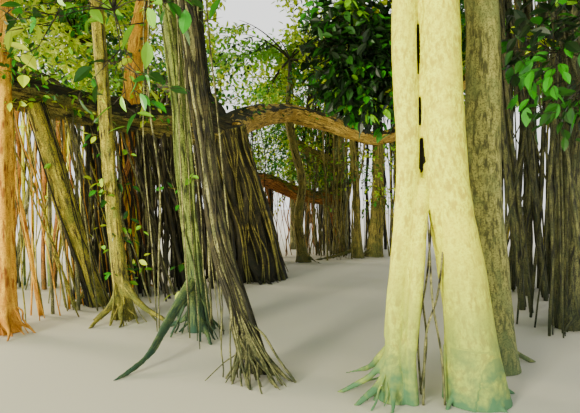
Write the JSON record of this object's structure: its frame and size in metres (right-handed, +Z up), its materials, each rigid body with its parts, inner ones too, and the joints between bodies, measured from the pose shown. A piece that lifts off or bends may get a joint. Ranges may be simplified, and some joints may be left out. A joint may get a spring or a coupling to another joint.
{
  "type": "banyan tree",
  "caption": "Spreading banyan tree with a fused, forked trunk, aerial roots thickened into pillars, arching boughs over a path and a low wide leafy crown.",
  "frame": {"origin": "middle of the flat cut at ground level under the trunk's front leg", "axes": "+Z up, +Y along the path that runs between the trunk and the pillars to its left, +X to the right of the path"},
  "size_m": [22.093, 22.7995, 12.247],
  "materials": {
    "bark_pale": "smooth pale cream bark with a green tinge near the ground",
    "bark_ochre": "ochre bark of aerial roots, ridged lengthwise",
    "bark_dark": "dark brown rough bark with lengthwise strands",
    "foliage": "leathery green leaves"
  },
  "bodies": {
    "root": {"trunk": "bark_pale", "pillar_great": "bark_dark", "pillar_rear_right": "bark_dark", "bough_front": "bark_dark", "bough_right": "bark_dark", "bough_right_rear": "bark_dark", "bough_over_path": "bark_dark", "bough_mid_front": "bark_dark", "bough_mid_right": "bark_dark", "bough_top": "bark_dark", "bough_left": "bark_dark", "bough_arch": "bark_ochre", "bough_low": "bark_ochre", "bough_rear": "bark_dark", "bough_rising": "bark_ochre", "bough_far_left": "bark_dark", "bough_rear_left": "bark_dark", "bough_mid_left": "bark_dark", "pillar_smooth_left": "bark_pale", "pillar_bundle": "bark_ochre", "pillar_yellow": "bark_ochre", "pillar_far_left": "bark_ochre", "pillar_leaning": "bark_ochre", "pillar_leaning_thin": "bark_dark", "pillar_pale": "bark_pale", "pillar_orange": "bark_ochre", "pillar_strands": "bark_dark", "pillar_middle": "bark_ochre", "pillar_right": "bark_dark", "pillar_stub": "bark_dark", "pillar_low_bough": "bark_dark", "pillar_curtain": "bark_dark", "pillar_rear": "bark_dark", "pillar_rear_left": "bark_dark", "pillar_outer_left": "bark_dark", "pillar_back_thin": "bark_dark", "pillar_back_pair": "bark_dark", "pillar_right_edge": "bark_dark", "spur_left": "bark_dark", "spur_rear": "bark_dark", "spur_right": "bark_dark", "foliage_rim_1": "foliage", "foliage_rim_2": "foliage", "foliage_rim_3": "foliage", "foliage_rim_4": "foliage", "foliage_rim_5": "foliage", "foliage_rim_6": "foliage", "foliage_rim_7": "foliage", "foliage_rim_8": "foliage", "foliage_mid_1": "foliage", "foliage_mid_2": "foliage", "foliage_mid_3": "foliage", "foliage_mid_4": "foliage", "foliage_mid_5": "foliage", "foliage_top_left": "foliage", "foliage_top_right": "foliage", "foliage_low_left": "foliage", "foliage_low_path": "foliage", "foliage_low_right": "foliage"}
  },
  "joints": []
}
